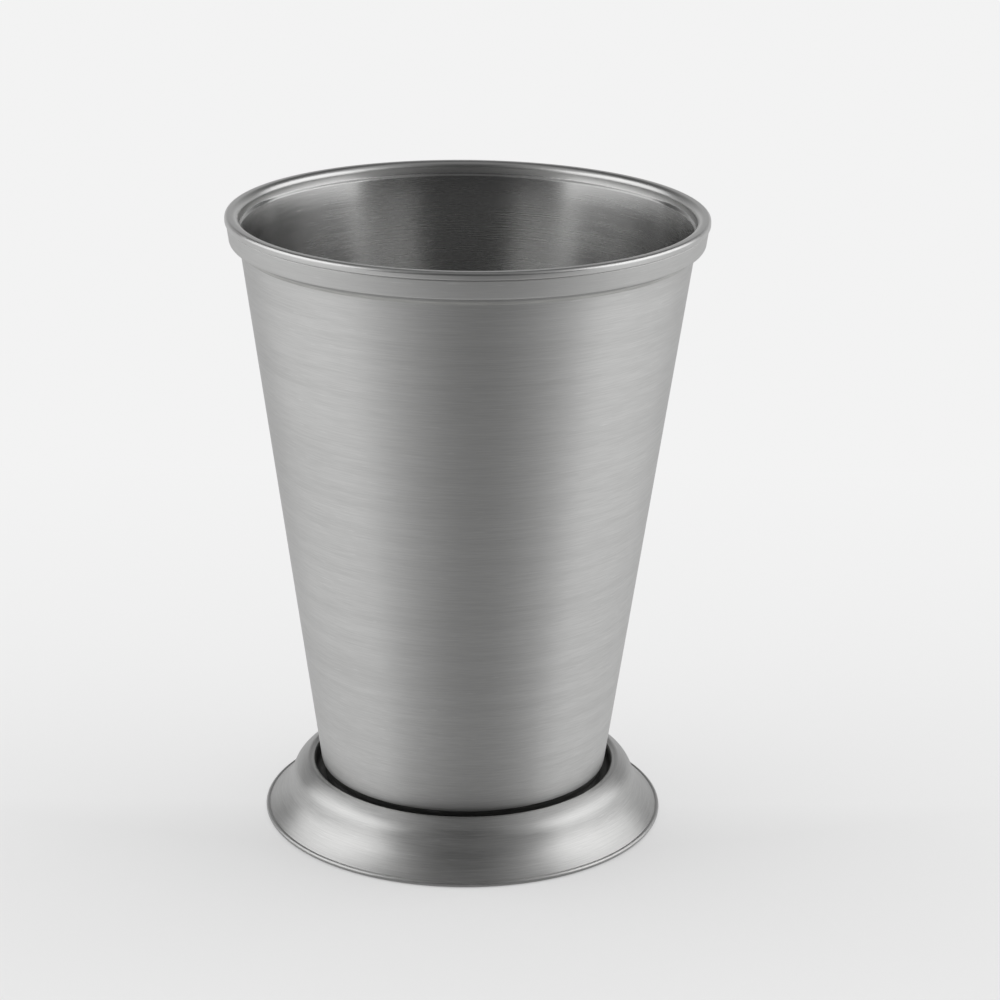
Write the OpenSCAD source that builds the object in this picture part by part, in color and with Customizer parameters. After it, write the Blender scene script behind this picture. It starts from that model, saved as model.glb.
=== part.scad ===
// Julep cup: a tapered drawn cup with a banded lip, standing on a flared foot.
// The cup stands on z = 0, with its axis on Z. Lengths are in millimetres and angles in degrees.

/* [Cup] */
// Height of the whole cup, from the table to the top of the lip
cup_h = 114; // [95:1:140]
// Width across the lip
rim_d = 86; // [78:0.5:96]
// Lean of the wall away from upright
taper = 8.05; // [5:0.05:9]
// Thickness of the cup's sheet
wall = 0.7; // [0.5:0.05:1]
// Outer radius of the corner between the wall and the floor
corner_r = 4.2; // [2.5:0.1:6]

/* [Lip] */
// Height of the turned-out lip
lip_h = 1.35; // [1:0.05:2]
// How far the lip stands out past the band
lip_proud = 0.25; // [0:0.05:0.6]
// Radius on the outer upper edge of the lip
lip_edge_r = 0.6; // [0.3:0.05:0.7]
// Radius on the inner edge of the lip, where the mouth begins
lip_in_r = 1.2; // [0.5:0.05:1.5]
// Radius on the lower edge of the lip
lip_under_r = 0.25; // [0.1:0.05:0.4]
// How far the mouth is opened above its step
mouth_step = 0.3; // [0.1:0.05:0.8]
// Depth of the step's upper edge below the top of the lip
mouth_drop = 2.1; // [1.8:0.1:4]
// Height over which the step rises
step_rise = 0.6; // [0.2:0.1:1]

/* [Band] */
// Height of the band under the lip
band_h = 3.65; // [3.2:0.05:6]
// How far the band stands out from the wall
band_t = 1.75; // [1.6:0.05:2.5]
// Radius on the band's upper edge
band_top_r = 0.25; // [0.1:0.05:0.5]
// Radius on the band's lower edge
band_low_r = 0.7; // [0.3:0.05:0.9]
// Reach of the braze along the band's underside
rim_braze_w = 0.7; // [0.3:0.05:0.8]
// Reach of the braze down the wall
rim_braze_h = 1.2; // [0.5:0.1:2]

/* [Foot] */
// Width across the bead at the bottom of the foot
foot_d = 73.9; // [68:0.1:84]
// Height of the seat that the cup's floor rests on
seat_h = 7; // [5.5:0.1:7.4]
// Rise of the foot's crown above the seat
crown_rise = 2.85; // [2.2:0.05:5]
// Thickness of the foot's sheet
foot_wall = 0.7; // [0.6:0.05:1]
// Clearance between the cup's wall and the foot's neck
neck_gap = 1.25; // [0.6:0.05:1.6]
// Inner radius of the fold where the foot turns down into its neck
roll_in_r = 0.35; // [0.2:0.05:0.7]
// Radius of the bend between the neck and the seat
bend_r = 1; // [0.5:0.1:1.2]
// Width of the seat, inwards from the neck
seat_w = 9; // [7:0.5:16]
// Radius of the bead round the bottom edge
bead_r = 0.45; // [0.3:0.05:0.7]
// Reach of the braze from the cup's corner over the seat
foot_braze_w = 0.7; // [0.3:0.05:1]

/* [Hidden] */
$fn = 180;

// Steps in a small arc, in the floor's corner, in the mouth's step and in the foot's skirt
arc_n = 8;
corner_n = 12;
step_n = 4;
skirt_n = 28;

// Corner steps that the foot's braze climbs
braze_n = 6;

// Angles that the skirt leaves the fold and meets the bead at, and the bead's last angle
crown_a = 60;
flare_a = 49;
groove_a = 120;

// Pull of the skirt's two ends on its curve, and where its hem turns in, as shares
crown_pull_share = 0.43;
flare_pull_share = 0.69;
hem_share = 0.96;

// Hollow of a braze's face, as a share of its reach
hollow_share = 0.25;

// The cup's wall is a cone that ends under the lip
rim_r = rim_d / 2;
crease_z = cup_h - lip_h;
crease_r = rim_r - lip_proud - band_t;
step_top_z = cup_h - mouth_drop;
band_z = crease_z - band_h;

// The round of the mouth stays clear of the lip's outer round
lip_round = min(lip_in_r, rim_r - lip_edge_r - bore_r(cup_h));

// The foot's neck stands off the wall, and the fold lies outside the neck
roll_r = roll_in_r + foot_wall;
roll_z = seat_h + crown_rise - roll_r;
neck_r = wall_r(roll_z) + neck_gap;
roll_x = neck_r + roll_r;
neck_bend = min(bend_r, crown_rise - roll_r);
bend_x = neck_r - neck_bend;
bend_z = seat_h + neck_bend;
seat_in_r = neck_r - seat_w;
bead_x = foot_d / 2 - bead_r;

// The corner's arc touches both the floor and the leaning wall
corner_z = seat_h + corner_r;
corner_x = wall_r(corner_z) - across(corner_r);

// Radius of the wall's outer face at a height, below the mouth's step
function wall_r(z) = crease_r - (crease_z - z) * tan(taper);

// Width, measured level, of something that is so thick square to the wall
function across(thick) = thick / cos(taper);

// Soft step from 0 to 1
function ease(t) = let (s = min(max(t, 0), 1)) s * s * (3 - 2 * s);

// Radius of the shell's outer face at a height, with the mouth's step
function shell_r(z) = wall_r(z) + mouth_step * ease((z - step_top_z + step_rise) / step_rise);

// Radius of the shell's inner face at a height
function bore_r(z) = shell_r(z) - across(wall);

// Point at an angle on a circle
function spoke(x, z, r, a) = [x + r * cos(a), z + r * sin(a)];

// Points of an arc from one angle to another
function arc(x, z, r, from, to, n = arc_n) = [for (i = [0:n]) spoke(x, z, r, from + (to - from) * i / n)];

// Heights of the points that follow the mouth's step, from the lowest up
function step_heights() = [for (i = [0:step_n]) step_top_z - step_rise + step_rise * i / step_n];

// Points on the corner between the floor and the wall, over its first steps
function corner(r, n = corner_n) = [
    for (i = [0:n]) spoke(corner_x, corner_z, r, -90 + (90 - taper) * i / corner_n)
];

// Same points in the other order
function reversed(points) = [for (i = [len(points) - 1:-1:0]) points[i]];

// Curve between two points that is drawn towards a third
function bow(a, pull, b, n = arc_n) = [
    for (i = [0:n]) let (t = i / n) (1 - t) * (1 - t) * a + 2 * t * (1 - t) * pull + t * t * b
];

// Ends of the skirt's curve, and the two points that draw it into an ogee
skirt_top = spoke(roll_x, roll_z, roll_r, crown_a);
skirt_end = spoke(bead_x, bead_r, bead_r, groove_a);
skirt_span = norm(skirt_end - skirt_top);
crown_pull = skirt_top + skirt_span * crown_pull_share * [sin(crown_a), -cos(crown_a)];
flare_pull = skirt_end - skirt_span * flare_pull_share * [sin(flare_a), -cos(flare_a)];

// Point of the skirt's outer face, from its top at 0 to its end at 1
function skirt_at(t) = let (s = 1 - t)
    s * s * s * skirt_top + 3 * s * s * t * crown_pull + 3 * s * t * t * flare_pull + t * t * t * skirt_end;

// Direction in which the skirt runs down at that point
function skirt_run(t) = let (s = 1 - t)
    s * s * (crown_pull - skirt_top) + 2 * s * t * (flare_pull - crown_pull) + t * t * (skirt_end - flare_pull);

// Point at a depth under the skirt's outer face
function skirt_under(t, depth) = let (run = skirt_run(t) / norm(skirt_run(t)))
    skirt_at(t) + depth * [run[1], -run[0]];

hem_r = skirt_under(hem_share, foot_wall)[0];

// Drawn cup: floor, rounded corner, leaning wall, stepped mouth and turned-out lip
module cup_shell() {
    outside = [
        for (z = concat(step_heights(), [crease_z])) [shell_r(z), z]
    ];
    lip = concat(
        arc(rim_r - lip_under_r, crease_z + lip_under_r, lip_under_r, -90, 0),
        arc(rim_r - lip_edge_r, cup_h - lip_edge_r, lip_edge_r, 0, 90),
        arc(bore_r(cup_h - lip_round) + lip_round, cup_h - lip_round, lip_round, 90, 180, corner_n)
    );
    inside = [for (z = reversed(step_heights())) [bore_r(z), z]];
    color([0.64, 0.64, 0.63]) rotate_extrude() polygon(concat(
        [[0, seat_h]],
        corner(corner_r),
        outside,
        lip,
        inside,
        reversed(corner(corner_r - wall)),
        [[0, seat_h + wall]]
    ));
}

// Collar that fits round the shell under the lip
module rim_band() {
    fitted = [for (z = concat([band_z], step_heights(), [crease_z])) [shell_r(z), z]];
    top_z = crease_z - band_top_r;
    low_z = band_z + band_low_r;
    top_edge = arc(wall_r(top_z) + band_t - across(band_top_r), top_z, band_top_r, 90, -taper);
    low_edge = arc(wall_r(low_z) + band_t - across(band_low_r), low_z, band_low_r, -taper, -90);
    color([0.68, 0.68, 0.67]) rotate_extrude() polygon(concat(fitted, top_edge, low_edge));
}

// Fillet of braze that closes the joint between the band's underside and the wall
module rim_braze() {
    inner_r = wall_r(band_z);
    foot_z = band_z - rim_braze_h;
    outer = [inner_r + rim_braze_w, band_z];
    lower = [wall_r(foot_z), foot_z];
    pull = [inner_r + rim_braze_w * hollow_share, band_z - rim_braze_h * hollow_share];
    color([0.6, 0.6, 0.58]) rotate_extrude() polygon(concat([[inner_r, band_z]], bow(outer, pull, lower)));
}

// Stamped foot: seat under the cup, neck, folded crown, ogee skirt and hemmed bead
module foot_ring() {
    skirt = [for (i = [0:skirt_n]) skirt_at(i / skirt_n)];
    lining = [for (i = [0:skirt_n]) skirt_under(hem_share * i / skirt_n, foot_wall)];
    color([0.66, 0.66, 0.65]) rotate_extrude() polygon(concat(
        [[hem_r, 0]],
        arc(bead_x, bead_r, bead_r, -90, groove_a, 2 * arc_n),
        reversed(skirt),
        arc(roll_x, roll_z, roll_r, crown_a, 180),
        arc(bend_x, bend_z, neck_bend, 0, -90),
        [[seat_in_r, seat_h], [seat_in_r, seat_h - foot_wall]],
        arc(bend_x, bend_z, neck_bend + foot_wall, -90, 0),
        arc(roll_x, roll_z, roll_in_r, 180, crown_a),
        lining
    ));
}

// Ring of braze that joins the cup's corner to the foot's seat
module foot_braze() {
    climb = corner(corner_r, braze_n);
    top = climb[braze_n];
    edge = [min(top[0] + foot_braze_w, bend_x), seat_h];
    pull = [top[0] + (edge[0] - top[0]) * hollow_share, seat_h + (top[1] - seat_h) * hollow_share];
    color([0.56, 0.56, 0.54]) rotate_extrude() polygon(concat(climb, bow(top, pull, edge)));
}

cup_shell();
rim_band();
rim_braze();
foot_ring();
foot_braze();
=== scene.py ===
"""Looks of a julep cup: finely turned meshes in brushed steel, in a plain pale studio."""

import logging
import math
from dataclasses import dataclass
from enum import Enum
from itertools import accumulate
from typing import Iterable

import bpy
import numpy as np
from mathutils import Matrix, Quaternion, Vector


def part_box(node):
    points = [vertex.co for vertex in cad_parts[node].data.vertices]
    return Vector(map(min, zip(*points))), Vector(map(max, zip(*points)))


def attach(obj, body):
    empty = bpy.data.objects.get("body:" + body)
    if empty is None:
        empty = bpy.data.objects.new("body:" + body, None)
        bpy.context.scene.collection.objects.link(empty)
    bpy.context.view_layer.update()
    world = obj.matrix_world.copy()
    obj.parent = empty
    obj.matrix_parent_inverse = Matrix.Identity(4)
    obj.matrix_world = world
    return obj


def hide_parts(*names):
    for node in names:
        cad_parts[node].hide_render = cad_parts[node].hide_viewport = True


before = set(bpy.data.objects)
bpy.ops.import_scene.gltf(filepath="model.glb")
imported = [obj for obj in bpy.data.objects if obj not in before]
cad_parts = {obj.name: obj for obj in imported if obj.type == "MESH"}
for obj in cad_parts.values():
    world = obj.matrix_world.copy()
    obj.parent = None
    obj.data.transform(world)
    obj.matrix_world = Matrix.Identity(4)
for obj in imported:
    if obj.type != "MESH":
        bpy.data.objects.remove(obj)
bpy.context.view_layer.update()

LOG = logging.getLogger("julep_cup")
MM = 0.001
BODY = "root"
MERGE = 0.002 * MM
QUARTER_TURN = 0.25 * math.tau
UV_NAME = "turned"
TRAVEL = "travel"

Point = tuple[float, float]
Colour = tuple[float, float, float, float]


def grey(value: float, warmth: float = 0.0) -> Colour:
    """A linear grey, with a little warmth taken from its blue."""
    return (value, value, value * (1.0 - warmth), 1.0)


def spoke(centre: Point, radius: float, degrees: float) -> Point:
    """The point at an angle on a circle, in the plane of the outline."""
    turn = math.radians(degrees)
    return (centre[0] + radius * math.cos(turn), centre[1] + radius * math.sin(turn))


def arc(centre: Point, radius: float, start: float, end: float, steps: int = 16) -> list[Point]:
    """Points along an arc of the outline.

    Args:
        centre: Centre of the arc.
        radius: Radius of the arc, in metres.
        start: Angle of its first point, in degrees.
        end: Angle of its last point, in degrees.
        steps: Number of steps along it.

    Returns:
        The points, with both ends.
    """
    return [spoke(centre, radius, start + (end - start) * i / steps) for i in range(steps + 1)]


def bow(start: Point, pull: Point, end: Point, steps: int = 16) -> list[Point]:
    """Points along a curve between two points that is drawn towards a third.

    Args:
        start: First point.
        pull: Point that draws the curve.
        end: Last point.
        steps: Number of steps along it.

    Returns:
        The points, with both ends.
    """
    found = []
    for i in range(steps + 1):
        t = i / steps
        weights = ((1 - t) ** 2, 2 * t * (1 - t), t * t)
        found.append(tuple(sum(w * p[k] for w, p in zip(weights, (start, pull, end))) for k in (0, 1)))
    return found


def ease(share: float) -> float:
    """A soft step from 0 to 1."""
    s = min(max(share, 0.0), 1.0)
    return s * s * (3 - 2 * s)


class Part(Enum):
    """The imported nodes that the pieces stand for."""

    SHELL = "cup_shell"
    BAND = "rim_band"
    RIM_BRAZE = "rim_braze"
    FOOT = "foot_ring"
    FOOT_BRAZE = "foot_braze"


class Grade(Enum):
    """How evenly a surface was brushed, as the share by which its streaks wander."""

    EVEN = 0.6
    WORN = 1.0
    ROUGH = 1.6


class NodeBench:
    """Adds and joins the nodes of one material or world."""

    def __init__(self, tree: bpy.types.NodeTree) -> None:
        """Takes a node tree and empties it."""
        self.tree = tree
        tree.nodes.clear()

    def add(self, kind: str, inputs: dict | None = None, **settings: object) -> bpy.types.Node:
        """Adds a node.

        Args:
            kind: The node's type, without its ShaderNode prefix.
            inputs: Socket names or numbers, each with a value or the socket that feeds it.
            **settings: Properties of the node itself.

        Returns:
            The new node.
        """
        node = self.tree.nodes.new("ShaderNode" + kind)
        for name, value in settings.items():
            setattr(node, name, value)
        for name, value in (inputs or {}).items():
            if isinstance(value, bpy.types.NodeSocket):
                self.tree.links.new(value, node.inputs[name])
            else:
                node.inputs[name].default_value = value
        return node

    def math(self, operation: str, first: object, second: object = 0.0) -> bpy.types.NodeSocket:
        """Joins two numbers or sockets by an arithmetic operation and returns the result's socket."""
        return self.add("Math", {0: first, 1: second}, operation=operation).outputs[0]

    def vector(self, operation: str, first: object, second: object = (0, 0, 0)) -> bpy.types.NodeSocket:
        """Joins two vectors by an operation and returns the result's socket."""
        return self.add("VectorMath", {0: first, 1: second}, operation=operation).outputs[0]

    def noise(self, place: object, scale: float, detail: float, rough: float = 0.5) -> bpy.types.NodeSocket:
        """Noise at a place, from 0 to 1 about 0.5.

        Args:
            place: Socket of the place that the noise is read at.
            scale: Number of waves to a unit of place.
            detail: Number of finer layers.
            rough: Strength of each layer against the one before.

        Returns:
            The socket with the value.
        """
        wanted = {"Vector": place, "Scale": scale, "Detail": detail, "Roughness": rough}
        return self.add("TexNoise", wanted).outputs["Fac"]

    def span(
        self, value: object, low: float, high: float, to_low: float, to_high: float
    ) -> bpy.types.NodeSocket:
        """Carries a value from one range to another, held at the ends.

        Args:
            value: Socket of the value.
            low: Lower end of its range.
            high: Upper end of its range.
            to_low: What the lower end becomes.
            to_high: What the upper end becomes.

        Returns:
            The socket with the carried value.
        """
        wanted = {"Value": value, "From Min": low, "From Max": high, "To Min": to_low, "To Max": to_high}
        return self.add("MapRange", wanted, clamp=True).outputs["Result"]


@dataclass(frozen=True)
class BrushedSteel:
    """A brushed steel finish whose streaks run round the cup."""

    name: str
    bright: Colour
    dull: Colour
    roughness: float
    grain: float
    grade: Grade = Grade.EVEN
    mean_radius: float = 34.0 * MM
    streak_length: float = 5.0 * MM
    streak_width: float = 0.16 * MM
    turn_length: float = 70.0 * MM
    turn_width: float = 1.6 * MM
    turn_share: float = 0.38
    streak_range: tuple[float, float] = (0.38, 0.62)
    nick_length: float = 3.5 * MM
    nick_width: float = 0.256 * MM
    nick_range: tuple[float, float] = (0.70, 0.78)
    nick_share: float = 0.25
    nick_shade: float = 0.9
    haze_size: float = 22.0 * MM
    haze_sway: float = 0.12
    streak_sway: float = 0.07
    relief: float = 0.004 * MM
    grain_turn: float = 0.25

    def streak_place(self, bench: NodeBench, length: float, width: float) -> bpy.types.NodeSocket:
        """The place that a streak pattern is read at, long round the cup and narrow across.

        Args:
            bench: Bench of the material.
            length: Length of a streak round the cup.
            width: Width of a streak across it.

        Returns:
            The socket with the place.
        """
        spot = bench.add("TexCoord").outputs["Object"]
        round_way = bench.vector("NORMALIZE", bench.vector("MULTIPLY", spot, (1, 1, 0)))
        waves = self.mean_radius / length
        round_way = bench.vector("MULTIPLY", round_way, (waves, waves, 0))
        laid = bench.add("UVMap", uv_map=UV_NAME).outputs["UV"]
        across = bench.add("SeparateXYZ", {0: laid}).outputs["Y"]
        across = bench.math("MULTIPLY", across, 1.0 / width)
        return bench.vector("ADD", round_way, bench.add("CombineXYZ", {"Z": across}).outputs[0])

    def material(self) -> bpy.types.Material:
        """Makes the material.

        Returns:
            The new material, with brushing, turning marks, haze and fine scratches.
        """
        made = bpy.data.materials.new(self.name)
        made.use_nodes = True
        bench = NodeBench(made.node_tree)
        wander = self.grade.value
        along = self.streak_place(bench, self.streak_length, self.streak_width)
        fine = bench.noise(along, scale=1.0, detail=3.0, rough=0.62)
        along = self.streak_place(bench, self.turn_length, self.turn_width)
        turned = bench.noise(along, scale=1.0, detail=4.0, rough=0.6)
        along = self.streak_place(bench, self.nick_length, self.nick_width)
        nicks = bench.noise(along, scale=1.0, detail=1.0)
        spot = bench.add("TexCoord").outputs["Object"]
        haze = bench.noise(spot, scale=1.0 / self.haze_size, detail=3.0)

        turned = bench.math("MULTIPLY", turned, self.turn_share)
        streaks = bench.math("ADD", bench.math("MULTIPLY", fine, 1.0 - self.turn_share), turned)
        shade = bench.span(streaks, *self.streak_range, 0.5 - 0.5 * wander, 0.5 + 0.5 * wander)
        tint = bench.add("Mix", {0: shade, 6: self.dull, 7: self.bright}, data_type="RGBA").outputs[2]
        scratch = bench.span(nicks, *self.nick_range, 0.0, self.nick_share)
        bared = grey(self.nick_shade)
        tint = bench.add("Mix", {0: scratch, 6: tint, 7: bared}, data_type="RGBA").outputs[2]

        drift = bench.math("MULTIPLY", bench.math("SUBTRACT", haze, 0.5), self.haze_sway * wander)
        sway = bench.math("MULTIPLY", bench.math("SUBTRACT", shade, 0.5), self.streak_sway)
        rough = bench.math("ADD", bench.math("ADD", sway, self.roughness), drift)
        bump = bench.add("Bump", {"Height": streaks, "Distance": self.relief, "Strength": 1.0})
        tangent = bench.add("Tangent", direction_type="UV_MAP", uv_map=UV_NAME)
        shader = bench.add("BsdfPrincipled", {
            "Base Color": tint,
            "Metallic": 1.0,
            "Roughness": rough,
            "Anisotropic": self.grain,
            "Anisotropic Rotation": self.grain_turn,
            "Normal": bump.outputs["Normal"],
            "Tangent": tangent.outputs["Tangent"],
        })
        bench.add("OutputMaterial", {"Surface": shader.outputs["BSDF"]})
        return made


WALL_SATIN = BrushedSteel("wall_satin", grey(0.71, 0.01), grey(0.56, 0.01), 0.46, 0.8)
# Painted shade: the bore's base colours are darker than the wall's, for the shade inside the cup.
BORE_SATIN = BrushedSteel("bore_satin", grey(0.52, 0.01), grey(0.43, 0.01), 0.26, 0.8)
LIP_POLISH = BrushedSteel("lip_polish", grey(0.66, 0.01), grey(0.58, 0.01), 0.33, 0.3)
BAND_SATIN = BrushedSteel("band_satin", grey(0.66, 0.01), grey(0.56, 0.01), 0.54, 0.35)
# Painted shade: a darker satin for the band's lower edge, the braze under the band and the foot's bead
# underside, standing in for the shade there.
PAINTED_SHADE_SATIN = BrushedSteel("painted_shade_satin", grey(0.46, 0.01), grey(0.36, 0.01), 0.50, 0.35)
FOOT_SATIN = BrushedSteel("foot_satin", grey(0.63, 0.01), grey(0.52, 0.01), 0.42, 0.6, Grade.WORN)
# Painted shade: near-black steel for the cup's corner and floor inside the foot's gap, the band's fitted
# face and the foot's inner faces.
PAINTED_GAP_SHADE = BrushedSteel("painted_gap_shade", grey(0.24, 0.02), grey(0.14, 0.02), 0.50, 0.3, Grade.ROUGH)
BRAZE = BrushedSteel("dressed_braze", grey(0.60, 0.03), grey(0.44, 0.03), 0.40, 0.3, Grade.ROUGH)
# Painted shade: the braze ring in the foot's gap is near black for the shade there.
BRAZE_IN_PAINTED_SHADE = BrushedSteel("braze_in_painted_shade", grey(0.20, 0.03), grey(0.10, 0.03), 0.55, 0.2, Grade.ROUGH)


@dataclass(frozen=True)
class Stretch:
    """A stretch of an outline that has one finish, up to the next stretch's first point."""

    finish: BrushedSteel
    points: list[Point]


@dataclass
class Turning:
    """A piece that is turned from an outline: its name, the node it stands for and its steps round."""

    name: str
    part: Part
    slot: str
    quarter_steps: int = 64
    crease_degrees: float = 34.0
    closed: bool = True

    def outline(self) -> list[Stretch]:
        """The stretches of the outline, as radius and height, in order round the section.

        Returns:
            The stretches, from the first to the last.
        """
        raise NotImplementedError

    def build(self) -> bpy.types.Object:
        """Models the piece: draws the outline, spins it, closes it and unwraps it.

        Returns:
            The piece, at the origin with its place in its mesh.
        """
        stretches = self.outline()
        points = [point for stretch in stretches for point in stretch.points]
        if self.closed:
            points.append(points[0])
        piece = self.draw(points)
        bpy.ops.object.mode_set(mode="EDIT")
        bpy.ops.mesh.select_all(action="SELECT")
        bpy.ops.mesh.spin(steps=self.quarter_steps, angle=QUARTER_TURN, center=(0, 0, 0), axis=(0, 0, 1))
        bpy.ops.object.mode_set(mode="OBJECT")
        mirror = piece.modifiers.new("other_quarters", "MIRROR")
        mirror.use_axis = (True, True, False)
        mirror.use_clip = False
        mirror.merge_threshold = MERGE
        bpy.ops.object.modifier_apply(modifier=mirror.name)
        bpy.ops.object.mode_set(mode="EDIT")
        bpy.ops.mesh.select_all(action="SELECT")
        bpy.ops.mesh.remove_doubles(threshold=MERGE)
        bpy.ops.mesh.select_all(action="SELECT")
        bpy.ops.mesh.normals_make_consistent(inside=False)
        bpy.ops.object.mode_set(mode="OBJECT")
        bpy.ops.object.shade_smooth_by_angle(angle=math.radians(self.crease_degrees))
        self.unwrap(piece)
        self.coat(piece, stretches, points)
        return piece

    def draw(self, points: list[Point]) -> bpy.types.Object:
        """Draws the outline by extruding one vertex from point to point.

        Args:
            points: The outline's points, from the first to the last.

        Returns:
            The piece so far, an outline whose points carry how far along it they lie.
        """
        bpy.ops.object.select_all(action="DESELECT")
        bpy.ops.mesh.primitive_plane_add(size=MM)
        piece = bpy.context.object
        piece.name = piece.data.name = self.name
        bpy.ops.object.mode_set(mode="EDIT")
        bpy.ops.mesh.select_all(action="SELECT")
        bpy.ops.mesh.merge(type="CENTER")
        bpy.ops.transform.translate(value=(points[0][0], 0.0, points[0][1]))
        for here, there in zip(points, points[1:]):
            step = (there[0] - here[0], 0.0, there[1] - here[1])
            bpy.ops.mesh.extrude_vertices_move(TRANSFORM_OT_translate={"value": step})
        bpy.ops.object.mode_set(mode="OBJECT")
        lengths = [math.dist(here, there) for here, there in zip(points, points[1:])]
        travel = piece.data.attributes.new(TRAVEL, "FLOAT", "POINT")
        travel.data.foreach_set("value", [0.0, *accumulate(lengths)])
        return piece

    def unwrap(self, piece: bpy.types.Object) -> None:
        """Lays the UV map: turns round the axis across it, and metres along the outline up it.

        Args:
            piece: The spun piece, whose vertices carry how far along the outline they lie.
        """
        mesh = piece.data
        spots = np.empty((len(mesh.vertices), 3))
        travel = np.empty(len(mesh.vertices))
        corners = np.empty(len(mesh.loops), int)
        starts = np.empty(len(mesh.polygons), int)
        mesh.vertices.foreach_get("co", spots.ravel())
        mesh.attributes[TRAVEL].data.foreach_get("value", travel)
        mesh.loops.foreach_get("vertex_index", corners)
        mesh.polygons.foreach_get("loop_start", starts)
        face = np.repeat(np.arange(len(starts)), np.diff([*starts, len(corners)]))
        turns = np.arctan2(spots[:, 1], spots[:, 0]) / math.tau
        turns[np.hypot(spots[:, 0], spots[:, 1]) < MERGE] = np.nan
        laid = []
        for values, whole in ((turns[corners], 1.0), (travel[corners], travel.max())):
            top = np.fmax.reduceat(values, starts)[face]
            values = np.where(values < top - 0.5 * whole, values + whole, values)
            middle = 0.5 * (np.fmax.reduceat(values, starts) + np.fmin.reduceat(values, starts))[face]
            laid.append(np.where(np.isnan(values), middle, values))
        layer = mesh.uv_layers.new(name=UV_NAME)
        layer.data.foreach_set("uv", np.column_stack(laid).ravel())
        mesh.attributes.remove(mesh.attributes[TRAVEL])

    def coat(self, piece: bpy.types.Object, stretches: list[Stretch], points: list[Point]) -> None:
        """Gives each stretch's faces its finish.

        Args:
            piece: The unwrapped piece.
            stretches: The outline's stretches.
            points: All the outline's points, in order.
        """
        mesh = piece.data
        mesh.materials.clear()
        finishes = list(dict.fromkeys(stretch.finish for stretch in stretches))
        for finish in finishes:
            mesh.materials.append(finish.material())
        travel = [0.0, *accumulate(math.dist(here, there) for here, there in zip(points, points[1:]))]
        starts = [travel[i] for i in accumulate((len(s.points) for s in stretches[:-1]), initial=0)]
        spots = np.empty((len(mesh.loops), 2))
        first = np.empty(len(mesh.polygons), int)
        mesh.uv_layers[UV_NAME].data.foreach_get("uv", spots.ravel())
        mesh.polygons.foreach_get("loop_start", first)
        middle = 0.5 * (np.maximum.reduceat(spots[:, 1], first) + np.minimum.reduceat(spots[:, 1], first))
        found = np.searchsorted(starts, middle) - 1
        kinds = np.array([finishes.index(stretch.finish) for stretch in stretches])
        mesh.polygons.foreach_set("material_index", kinds[found])

    def dress(self, piece: bpy.types.Object) -> None:
        """Gives the piece its place in the frame, and hides the imported node that it stands for.

        Args:
            piece: The built piece.
        """
        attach(piece, BODY)
        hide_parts(self.part.value)

    def make(self) -> bpy.types.Object:
        """Builds and dresses the piece, and logs its size.

        Returns:
            The finished piece.
        """
        piece = self.build()
        self.dress(piece)
        LOG.info("%s: %d faces for %s", piece.name, len(piece.data.polygons), self.part.value)
        return piece


@dataclass
class WallLine:
    """The line of the cup's leaning wall, which every piece is set by."""

    taper: float = 8.05
    wall: float = 0.7 * MM
    lip_height: float = 1.35 * MM
    lip_proud: float = 0.25 * MM
    band_thickness: float = 1.75 * MM
    mouth_step: float = 0.3 * MM
    mouth_drop: float = 2.1 * MM
    step_rise: float = 0.6 * MM
    corner_radius: float = 4.2 * MM

    def __post_init__(self) -> None:
        """Takes the heights and the lip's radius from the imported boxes."""
        low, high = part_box(Part.SHELL.value)
        self.floor_z = low.z
        self.top_z = high.z
        self.lip_r = min(high.x, high.y, -low.x, -low.y)
        self.band_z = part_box(Part.BAND.value)[0].z
        self.crease_z = self.top_z - self.lip_height
        self.corner_z = self.floor_z + self.corner_radius
        self.corner_x = self.wall_r(self.corner_z) - self.level(self.corner_radius)

    def level(self, thick: float) -> float:
        """Width, measured level, of something that is so thick square to the wall."""
        return thick / math.cos(math.radians(self.taper))

    def wall_r(self, z: float) -> float:
        """Radius of the wall's outer face at a height, without the mouth's step."""
        under_lip = self.lip_r - self.lip_proud - self.band_thickness
        return under_lip - (self.crease_z - z) * math.tan(math.radians(self.taper))

    def shell_r(self, z: float) -> float:
        """Radius of the shell's outer face at a height, with the mouth's step."""
        start = self.top_z - self.mouth_drop - self.step_rise
        return self.wall_r(z) + self.mouth_step * ease((z - start) / self.step_rise)

    def bore_r(self, z: float) -> float:
        """Radius of the shell's inner face at a height."""
        return self.shell_r(z) - self.level(self.wall)

    def step_heights(self, steps: int = 10) -> list[float]:
        """Heights along the mouth's step, from the lowest up."""
        start = self.top_z - self.mouth_drop - self.step_rise
        return [start + self.step_rise * i / steps for i in range(steps + 1)]

    def corner(self, radius: float, climb: float = 1.0, steps: int = 20) -> list[Point]:
        """Points on the corner between the floor and the wall, over a share of its climb."""
        return arc((self.corner_x, self.corner_z), radius, -90, -90 + (90 - self.taper) * climb, steps)


LINE = WallLine()


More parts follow.
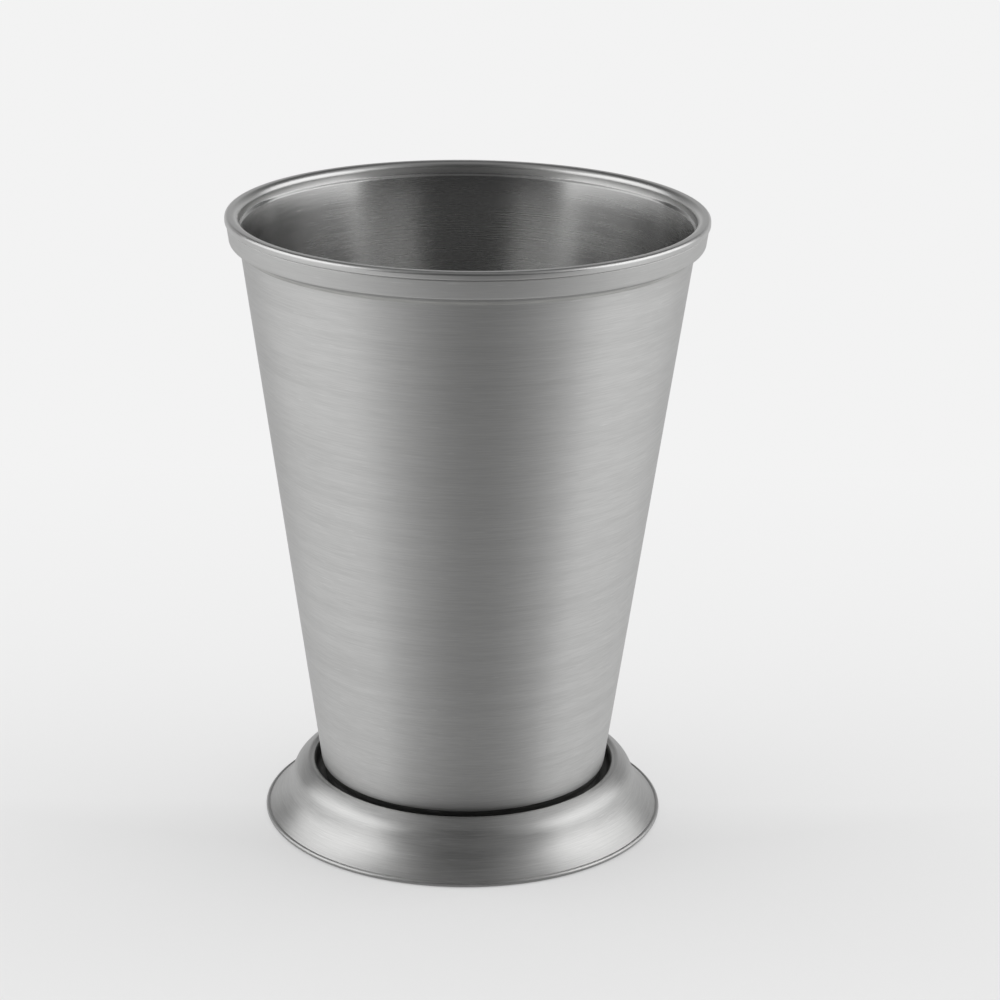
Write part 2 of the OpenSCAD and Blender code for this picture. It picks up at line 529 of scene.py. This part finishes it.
@dataclass
class CupShell(Turning):
    """The drawn cup: floor, rounded corner, wall, stepped mouth and turned-out lip."""

    closed: bool = False
    lip_edge: float = 0.6 * MM
    lip_inner: float = 1.2 * MM
    lip_under: float = 0.25 * MM
    painted_shade_below: float = 9.9 * MM
    wall_rows: int = 24
    floor_rows: int = 6
    lip_steps: int = 24

    def outline(self) -> list[Stretch]:
        """The shell's section, from the floor's underside round the lip to the floor's top.

        Returns:
            Its stretches: underside and low corner in painted shade, wall, lip and inside.
        """
        z_low = LINE.corner(LINE.corner_radius)[-1][1]
        z_high = LINE.step_heights()[0]
        rise = [z_low + (z_high - z_low) * i / self.wall_rows for i in range(1, self.wall_rows)]
        edge_z = LINE.top_z - self.lip_edge
        round_z = LINE.top_z - self.lip_inner
        under = [(LINE.corner_x * i / self.floor_rows, LINE.floor_z) for i in range(self.floor_rows)]
        outside = [(LINE.shell_r(z), z) for z in [*rise, *LINE.step_heights(), LINE.crease_z]]
        lip = [
            *arc((LINE.lip_r - self.lip_under, LINE.crease_z + self.lip_under), self.lip_under, -90, 0),
            *arc((LINE.lip_r - self.lip_edge, edge_z), self.lip_edge, 0, 90),
            *arc((LINE.bore_r(round_z) + self.lip_inner, round_z), self.lip_inner, 90, 180, self.lip_steps),
        ]
        inside = [(LINE.bore_r(z), z) for z in reversed([*rise, *LINE.step_heights()])]
        floor = [(r, z + LINE.wall) for r, z in reversed(under)]
        corner = LINE.corner(LINE.corner_radius)
        # Painted shade: the corner below this height, down in the foot's gap, takes the near-black finish.
        corner_in_painted_shade = [point for point in corner if point[1] < self.painted_shade_below]
        shown = [point for point in corner if point[1] >= self.painted_shade_below]
        bore = [*inside, *reversed(LINE.corner(LINE.corner_radius - LINE.wall)), *floor]
        return [
            Stretch(PAINTED_GAP_SHADE, [*under, *corner_in_painted_shade]),
            Stretch(WALL_SATIN, [*shown, *outside]),
            Stretch(LIP_POLISH, lip),
            Stretch(BORE_SATIN, bore),
        ]


@dataclass
class RimBand(Turning):
    """The collar under the lip."""

    top_edge: float = 0.25 * MM
    low_edge: float = 0.7 * MM
    face_end: float = -40.0
    shade_start: float = -45.0

    def outline(self) -> list[Stretch]:
        """The band's section, up its fitted face and down its outer face.

        Returns:
            Its stretches: fitted face in painted shade, outer face, and lower edge in painted shade.
        """
        thick = LINE.band_thickness
        top_z = LINE.crease_z - self.top_edge
        low_z = LINE.band_z + self.low_edge
        top = (LINE.wall_r(top_z) + thick - LINE.level(self.top_edge), top_z)
        low = (LINE.wall_r(low_z) + thick - LINE.level(self.low_edge), low_z)
        fitted = [(LINE.shell_r(z), z) for z in [LINE.band_z, *LINE.step_heights(), LINE.crease_z]]
        face = [
            *arc(top, self.top_edge, 90, -LINE.taper),
            *arc(low, self.low_edge, -LINE.taper, self.face_end),
        ]
        # Painted shade: the underside of the lower edge is darker, for the shade under the band.
        under = arc(low, self.low_edge, self.shade_start, -90)
        return [Stretch(PAINTED_GAP_SHADE, fitted), Stretch(BAND_SATIN, face), Stretch(PAINTED_SHADE_SATIN, under)]


@dataclass
class RimBraze(Turning):
    """The fillet of braze between the band's underside and the wall."""

    reach: float = 0.7 * MM
    hollow: float = 0.25
    shaded: int = 10

    def outline(self) -> list[Stretch]:
        """The fillet's section: the corner it fills and its hollow face.

        Returns:
            Its stretches: the part under the band in painted shade, and the rest of the face.
        """
        inner = LINE.wall_r(LINE.band_z)
        low_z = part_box(self.part.value)[0].z
        drop = LINE.band_z - low_z
        pull = (inner + self.reach * self.hollow, LINE.band_z - drop * self.hollow)
        face = bow((inner + self.reach, LINE.band_z), pull, (LINE.wall_r(low_z), low_z))
        # Painted shade: the first points of the face, tucked under the band, are darker for the shade
        # there.
        shaded = Stretch(PAINTED_SHADE_SATIN, [(inner, LINE.band_z), *face[: self.shaded]])
        return [shaded, Stretch(BRAZE, face[self.shaded :])]


@dataclass
class FootRing(Turning):
    """The stamped foot: seat, neck, folded crown, ogee skirt and hemmed bead."""

    sheet: float = 0.7 * MM
    neck_gap: float = 1.25 * MM
    roll_inner: float = 0.35 * MM
    bend: float = 1.0 * MM
    seat_width: float = 9.0 * MM
    bead: float = 0.45 * MM
    crown_degrees: float = 60.0
    flare_degrees: float = 49.0
    groove_degrees: float = 120.0
    shade_end: float = 10.0
    face_start: float = 15.0
    painted_shade_degrees: float = 130.0
    crown_pull: float = 0.43
    flare_pull: float = 0.69
    hem: float = 0.96
    skirt_rows: int = 56
    bead_steps: int = 20

    def __post_init__(self) -> None:
        """Sets the fold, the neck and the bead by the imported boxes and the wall."""
        low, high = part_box(self.part.value)
        self.roll = self.roll_inner + self.sheet
        roll_z = high.z - self.roll
        self.neck_r = LINE.wall_r(roll_z) + self.neck_gap
        self.roll_at = (self.neck_r + self.roll, roll_z)
        self.bend_at = (self.neck_r - self.bend, LINE.floor_z + self.bend)
        self.bead_at = (min(high.x, high.y, -low.x, -low.y) - self.bead, self.bead)

    def skirt(self, depth: float, end: float = 1.0) -> list[Point]:
        """Points down the skirt at a depth under its outer face.

        Args:
            depth: Depth under the outer face.
            end: Share of the skirt that they cover.

        Returns:
            The points, from the crown down.
        """
        top = Vector(spoke(self.roll_at, self.roll, self.crown_degrees))
        foot = Vector(spoke(self.bead_at, self.bead, self.groove_degrees))
        span = (foot - top).length
        crown, flare = math.radians(self.crown_degrees), math.radians(self.flare_degrees)
        pulls = (
            top,
            top + span * self.crown_pull * Vector((math.sin(crown), -math.cos(crown))),
            foot - span * self.flare_pull * Vector((math.sin(flare), -math.cos(flare))),
            foot,
        )
        found = []
        for i in range(self.skirt_rows + 1):
            t = end * i / self.skirt_rows
            s = 1 - t
            shares = (s**3, 3 * s * s * t, 3 * s * t * t, t**3)
            at = sum((w * p for w, p in zip(shares, pulls)), Vector((0, 0)))
            ways = [b - a for a, b in zip(pulls, pulls[1:])]
            run = sum((w * p for w, p in zip((s * s, 2 * s * t, t * t), ways)), Vector((0, 0))).normalized()
            found.append(tuple(at + depth * Vector((run.y, -run.x))))
        return found

    def outline(self) -> list[Stretch]:
        """The foot's section, from the hem's foot round the outside and back along the inside.

        Returns:
            Its stretches: the bead's underside in painted shade, the outside, and the inside in painted
                shade.
        """
        seat_in = self.neck_r - self.seat_width
        lining = self.skirt(self.sheet, self.hem)
        # Painted shade: past this angle the fold's inner side turns near black, for the shade in the gap.
        turned = self.painted_shade_degrees
        # Painted shade: the bead's underside is darker, for the shade where it meets the floor.
        under = arc(self.bead_at, self.bead, -90, self.shade_end)
        outside = [
            *arc(self.bead_at, self.bead, self.face_start, self.groove_degrees, self.bead_steps),
            *reversed(self.skirt(0.0)),
            *arc(self.roll_at, self.roll, self.crown_degrees, turned),
        ]
        inside = [
            *arc(self.roll_at, self.roll, turned, 180),
            *arc(self.bend_at, self.bend, 0, -90),
            (seat_in, LINE.floor_z),
            (seat_in, LINE.floor_z - self.sheet),
            *arc(self.bend_at, self.bend + self.sheet, -90, 0),
            *arc(self.roll_at, self.roll_inner, 180, self.crown_degrees),
            *lining,
            (lining[-1][0], 0.0),
        ]
        return [Stretch(PAINTED_SHADE_SATIN, under), Stretch(FOOT_SATIN, outside), Stretch(PAINTED_GAP_SHADE, inside)]


@dataclass
class FootBraze(Turning):
    """The ring of braze between the cup's corner and the foot's seat."""

    reach: float = 0.7 * MM
    climb: float = 0.5
    hollow: float = 0.25

    def outline(self) -> list[Stretch]:
        """The ring's section: up the cup's corner and down its hollow face.

        Returns:
            Its one stretch, in painted shade.
        """
        corner = LINE.corner(LINE.corner_radius, self.climb)
        top = corner[-1]
        edge = (top[0] + self.reach, LINE.floor_z)
        pull = (top[0] + self.reach * self.hollow, LINE.floor_z + (top[1] - LINE.floor_z) * self.hollow)
        return [Stretch(BRAZE_IN_PAINTED_SHADE, [*corner, *bow(top, pull, edge)])]


@dataclass
class SoftLamp:
    """A flat, soft lamp: its place, what it is aimed at, its size and its level."""

    name: str
    centre: tuple[float, float, float]
    aim: tuple[float, float, float]
    width: float
    height: float
    level: float

    def hang(self) -> bpy.types.Object:
        """Hangs the lamp, facing what it is aimed at.

        Returns:
            The lamp, which is as bright all over.
        """
        data = bpy.data.lights.new(self.name, "AREA")
        data.shape = "RECTANGLE"
        data.size = self.width
        data.size_y = self.height
        data.energy = self.level * math.pi * self.width * self.height
        lamp = bpy.data.objects.new(self.name, data)
        bpy.context.scene.collection.objects.link(lamp)
        aim = Vector(self.aim) - Vector(self.centre)
        lamp.location = self.centre
        lamp.rotation_mode = "QUATERNION"
        lamp.rotation_quaternion = aim.to_track_quat("-Z", "Y")
        return lamp


@dataclass
class Studio:
    """The floor, the lamps, the world and the camera."""

    floor_size: float = 12.0
    floor_shade: float = 0.76
    floor_glow: float = 0.35
    floor_turn: tuple[float, float] = (-0.06, 0.20)
    floor_front: tuple[float, float] = (0.39, 0.25)
    front_reach: tuple[float, float] = (0.08, 0.22)
    floor_back: float = 0.62
    near_reach: tuple[float, float] = (0.04, 0.11)
    near_back: tuple[float, float] = (-0.035, 0.0)
    near_share: float = 0.45
    far_reach: tuple[float, float] = (0.45, 0.75)
    front_way: tuple[float, float, float] = (0.15, -0.989, 0.0)
    front_turn: tuple[float, float] = (0.50, 1.0)
    front_power: float = 1.5
    backdrop: float = 0.895
    fill: float = 0.78
    room_front: float = 0.05
    room_back: float = 0.80
    room_top: tuple[float, float] = (0.05, 0.60)
    room_turn: tuple[float, float] = (0.55, 0.97)
    ceiling: float = 0.20
    ceiling_turn: tuple[float, float] = (0.82, 0.98)
    side_glow: float = 0.50
    side_turn: tuple[float, float] = (0.22, 0.65)
    side_rise: tuple[float, float] = (0.35, 0.60)
    side_end: tuple[float, float] = (0.10, 0.40)
    lens: float = 109.483
    sensor: float = 36.0
    clip: tuple[float, float] = (0.01, 50.0)
    distance: float = 0.5564
    elevation: float = 19.1261
    aim_height: float = 0.05698
    yaw: float = 0.6875
    pitch: float = 0.3151
    roll: float = 0.7414

    def camera(self) -> None:
        """Adds the camera at the photograph's angle."""
        data = bpy.data.cameras.new("camera")
        data.lens = self.lens
        data.sensor_width = self.sensor
        data.clip_start, data.clip_end = self.clip
        camera = bpy.data.objects.new("camera", data)
        bpy.context.scene.collection.objects.link(camera)
        lift = math.radians(self.elevation)
        back, up = self.distance * math.cos(lift), self.distance * math.sin(lift)
        camera.location = (0.0, -back, self.aim_height + up)
        down, side = math.radians(self.elevation - self.pitch), math.radians(self.yaw)
        ahead = Vector((math.sin(side) * math.cos(down), math.cos(side) * math.cos(down), -math.sin(down)))
        camera.rotation_mode = "QUATERNION"
        turn = Quaternion((0, 0, 1), math.radians(self.roll))
        camera.rotation_quaternion = ahead.to_track_quat("-Z", "Y") @ turn
        bpy.context.scene.camera = camera

    def world(self) -> None:
        """Lights the scene evenly, and shows reflections a room that is white behind and dark in front."""
        world = bpy.data.worlds.new("studio")
        bpy.context.scene.world = world
        world.use_nodes = True
        bench = NodeBench(world.node_tree)
        path = bench.add("LightPath").outputs
        way = bench.add("SeparateXYZ", {0: bench.add("TexCoord").outputs["Generated"]}).outputs
        back = bench.span(way["Y"], *self.room_turn, 0.0, 1.0)
        low = bench.span(way["Z"], *self.room_top, 1.0, 0.0)
        room = bench.span(bench.math("MULTIPLY", back, low), 0.0, 1.0, self.room_front, self.room_back)
        room = bench.math("ADD", room, bench.span(way["Z"], *self.ceiling_turn, 0.0, self.ceiling))
        sides = bench.span(bench.math("ABSOLUTE", way["X"]), *self.side_turn, 0.0, self.side_glow)
        sides = bench.math("MULTIPLY", sides, bench.span(way["Z"], *self.side_rise, 0.0, 1.0))
        sides = bench.math("MULTIPLY", sides, bench.span(way["Y"], *self.side_end, 1.0, 0.0))
        room = bench.math("ADD", room, sides)
        mirrored = bench.math("MAXIMUM", path["Is Glossy Ray"], path["Is Transmission Ray"])
        level = bench.add("Mix", {0: mirrored, 2: self.fill, 3: room}).outputs[0]
        level = bench.add("Mix", {0: path["Is Camera Ray"], 2: level, 3: self.backdrop}).outputs[0]
        light = bench.add("Background", {"Color": grey(1.0), "Strength": level})
        bench.add("OutputWorld", {"Surface": light.outputs[0]})

    def floor(self) -> None:
        """Lays the pale floor, which runs into the white background."""
        bpy.ops.object.select_all(action="DESELECT")
        bpy.ops.mesh.primitive_plane_add(size=self.floor_size)
        floor = bpy.context.object
        floor.name = "floor"
        made = bpy.data.materials.new("floor_paper")
        made.use_nodes = True
        bench = NodeBench(made.node_tree)
        spot = bench.add("TexCoord").outputs["Object"]
        back = bench.add("SeparateXYZ", {0: spot}).outputs["Y"]
        paper = bench.add("BsdfDiffuse", {"Color": grey(self.floor_shade)})
        path = bench.add("LightPath").outputs
        mirrored = bench.math("MAXIMUM", path["Is Glossy Ray"], path["Is Transmission Ray"])
        level = bench.span(mirrored, 0.0, 1.0, self.backdrop, self.floor_back)
        white = bench.add("Emission", {"Color": grey(1.0), "Strength": level})
        reach = bench.add("VectorMath", {0: spot}, operation="LENGTH").outputs["Value"]
        level = bench.span(reach, *self.front_reach, *self.floor_front)
        shade = bench.add("Emission", {"Color": grey(1.0), "Strength": level})
        seen = bench.math("MAXIMUM", path["Is Camera Ray"], mirrored)
        far = bench.math("MULTIPLY", bench.span(back, *self.floor_turn, self.floor_glow, 1.0), seen)
        beside = bench.span(reach, *self.near_reach, self.near_share, 1.0)
        near = bench.math("MAXIMUM", beside, bench.span(back, *self.near_back, 0.0, 1.0))
        far = bench.math("MULTIPLY", far, near)
        beyond = bench.math("MULTIPLY", bench.span(reach, *self.far_reach, 0.0, 1.0), path["Is Camera Ray"])
        far = bench.math("MAXIMUM", far, beyond)
        both = bench.add("MixShader", {0: far, 1: paper.outputs[0], 2: white.outputs[0]})
        way = bench.vector("NORMALIZE", spot)
        side = bench.add("VectorMath", {0: way, 1: self.front_way}, operation="DOT_PRODUCT")
        front = bench.span(side.outputs["Value"], *self.front_turn, 0.0, 1.0)
        front = bench.math("POWER", front, self.front_power)
        front = bench.math("MULTIPLY", front, mirrored)
        both = bench.add("MixShader", {0: front, 1: both.outputs[0], 2: shade.outputs[0]})
        bench.add("OutputMaterial", {"Surface": both.outputs[0]})
        floor.data.materials.append(made)

    def lamps(self) -> None:
        """Hangs the two soft lamps."""
        SoftLamp(
            name="lamp_left",
            centre=(-0.80, -0.045, 0.42),
            aim=(0.0, -0.045, 0.06),
            width=1.22,
            height=0.70,
            level=1.30,
        ).hang()
        SoftLamp(
            name="lamp_right",
            centre=(0.80, 0.09, 0.42),
            aim=(0.0, 0.09, 0.06),
            width=1.15,
            height=0.70,
            level=1.42,
        ).hang()

    def make(self) -> None:
        """Sets up the studio."""
        self.camera()
        self.world()
        self.floor()
        self.lamps()
        bpy.context.scene.view_settings.view_transform = "Standard"
        LOG.info("studio ready")


def pieces() -> Iterable[Turning]:
    """The cup's pieces, in the order in which they are put together.

    Returns:
        The pieces, not built yet.
    """
    yield CupShell("shell", Part.SHELL, "shell_steel")
    yield RimBand("lip_band", Part.BAND, "band_steel")
    yield RimBraze("band_fillet", Part.RIM_BRAZE, "braze_metal")
    yield FootRing("foot", Part.FOOT, "foot_steel")
    yield FootBraze("foot_fillet", Part.FOOT_BRAZE, "braze_metal")


def main() -> None:
    """Makes the pieces and the studio."""
    logging.basicConfig(level=logging.INFO, format="%(name)s %(message)s")
    for piece in pieces():
        piece.make()
    Studio().make()


if __name__ == "__main__":
    main()
